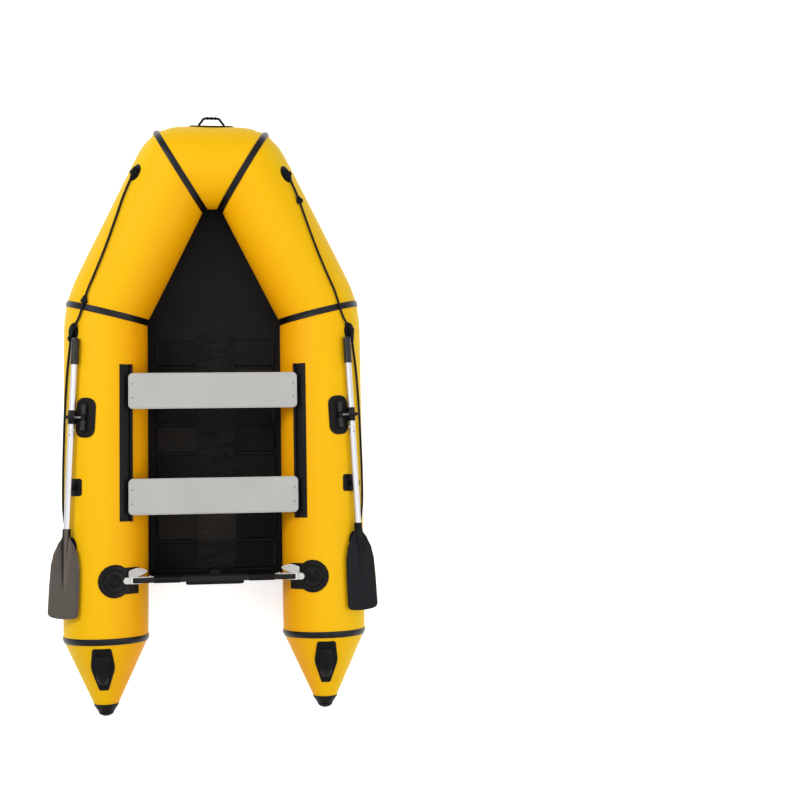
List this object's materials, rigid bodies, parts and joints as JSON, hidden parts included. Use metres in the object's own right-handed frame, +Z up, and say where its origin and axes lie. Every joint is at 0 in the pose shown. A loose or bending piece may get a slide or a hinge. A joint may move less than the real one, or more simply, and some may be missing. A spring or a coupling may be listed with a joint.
{
  "type": "inflatable boat",
  "caption": "Inflatable rowing boat with a hard transom for an outboard motor, a slatted floor, sliding bench seats, stowed oars on hinged rowlocks, grab lines and carry handles.",
  "frame": {"origin": "under the middle of the bounding box, on the surface that the boat stands on", "axes": "+X to starboard across the boat, +Y towards the bow along its length, +Z up"},
  "size_m": [1.6322, 3.0248, 0.5638],
  "materials": {
    "yellow_fabric": "satin coated fabric",
    "black_tape": "satin coated fabric tape",
    "slate_fabric": "satin coated fabric",
    "black_rubber": "moulded, matt",
    "black_board": "black faced plywood",
    "black_plastic": "moulded",
    "white_plastic": "moulded",
    "grey_board": "grey faced plywood",
    "bright_tube": "drawn, bright",
    "steel_pin": "plated",
    "blade_plastic": "moulded",
    "black_rope": "braided"
  },
  "bodies": {
    "hull": {"bow_air_valve": "black_plastic", "bow_handle": "black_rubber", "drain_sleeve": "black_plastic", "hull_floor": "slate_fabric", "inner_motor_pad": "black_plastic", "nose_tube": "yellow_fabric", "outer_motor_pad": "black_plastic", "port_aft_eye": "black_rubber", "port_air_valve": "black_plastic", "port_bow_eye": "black_rubber", "port_bow_tube": "yellow_fabric", "port_cone_tape": "black_tape", "port_elbow_tape": "black_tape", "port_lifeline": "black_rope", "port_middle_eye": "black_rubber", "port_nose_tape": "black_tape", "port_oar_keeper": "black_rubber", "port_rowlock_base": "black_rubber", "port_seat_rail": "black_rubber", "port_side_tube": "yellow_fabric", "port_stern_handle": "black_rubber", "port_tail_cap": "black_rubber", "port_transom_bracket": "white_plastic", "port_transom_holder": "black_rubber", "slatted_floor": "black_board", "starboard_aft_eye": "black_rubber", "starboard_air_valve": "black_plastic", "starboard_bow_eye": "black_rubber", "starboard_bow_tube": "yellow_fabric", "starboard_cone_tape": "black_tape", "starboard_elbow_tape": "black_tape", "starboard_lifeline": "black_rope", "starboard_middle_eye": "black_rubber", "starboard_nose_tape": "black_tape", "starboard_oar_keeper": "black_rubber", "starboard_rowlock_base": "black_rubber", "starboard_seat_rail": "black_rubber", "starboard_side_tube": "yellow_fabric", "starboard_stern_handle": "black_rubber", "starboard_tail_cap": "black_rubber", "starboard_transom_bracket": "white_plastic", "starboard_transom_holder": "black_rubber", "transom_board": "black_board"},
    "port_oar": {"port_rowlock_pin": "steel_pin", "port_upper_shaft": "bright_tube", "port_oar_grip": "black_rubber"},
    "port_oar_end": {"port_lower_shaft": "bright_tube", "port_oar_blade": "blade_plastic"},
    "starboard_oar": {"starboard_rowlock_pin": "steel_pin", "starboard_upper_shaft": "bright_tube", "starboard_oar_grip": "black_rubber"},
    "starboard_oar_end": {"starboard_lower_shaft": "bright_tube", "starboard_oar_blade": "blade_plastic"},
    "front_seat": {"front_seat": "grey_board", "front_seat_port_clip": "black_plastic", "front_seat_starboard_clip": "black_plastic"},
    "rear_seat": {"rear_seat": "grey_board", "rear_seat_port_clip": "black_plastic", "rear_seat_starboard_clip": "black_plastic"},
    "drain_plug": {"drain_plug": "black_rubber"}
  },
  "joints": [
    {"name": "port_rowlock_hinge", "type": "hinge", "parent": "hull", "child": "port_oar", "pos_m": [-0.63541, -0.0215, 0.4237], "axis": [0.0523, 0.9986, 0], "range_deg": [0, 110]},
    {"name": "port_oar_joint", "type": "slide", "parent": "port_oar", "child": "port_oar_end", "axis": [-0.0464, -0.9988, -0.0164], "range_m": [0, 0.1]},
    {"name": "starboard_rowlock_hinge", "type": "hinge", "parent": "hull", "child": "starboard_oar", "pos_m": [0.63541, -0.0215, 0.4237], "axis": [0.0523, -0.9986, 0], "range_deg": [0, 110]},
    {"name": "starboard_oar_joint", "type": "slide", "parent": "starboard_oar", "child": "starboard_oar_end", "axis": [0.0464, -0.9988, -0.0164], "range_m": [0, 0.1]},
    {"name": "front_seat_slide", "type": "slide", "parent": "hull", "child": "front_seat", "axis": [0, 1, 0], "range_m": [-0.15, 0.038]},
    {"name": "rear_seat_slide", "type": "slide", "parent": "hull", "child": "rear_seat", "axis": [0, 1, 0], "range_m": [-0.022, 0.15]},
    {"name": "drain_plug_pull", "type": "slide", "parent": "hull", "child": "drain_plug", "axis": [0, -1, 0], "range_m": [0, 0.03]}
  ]
}
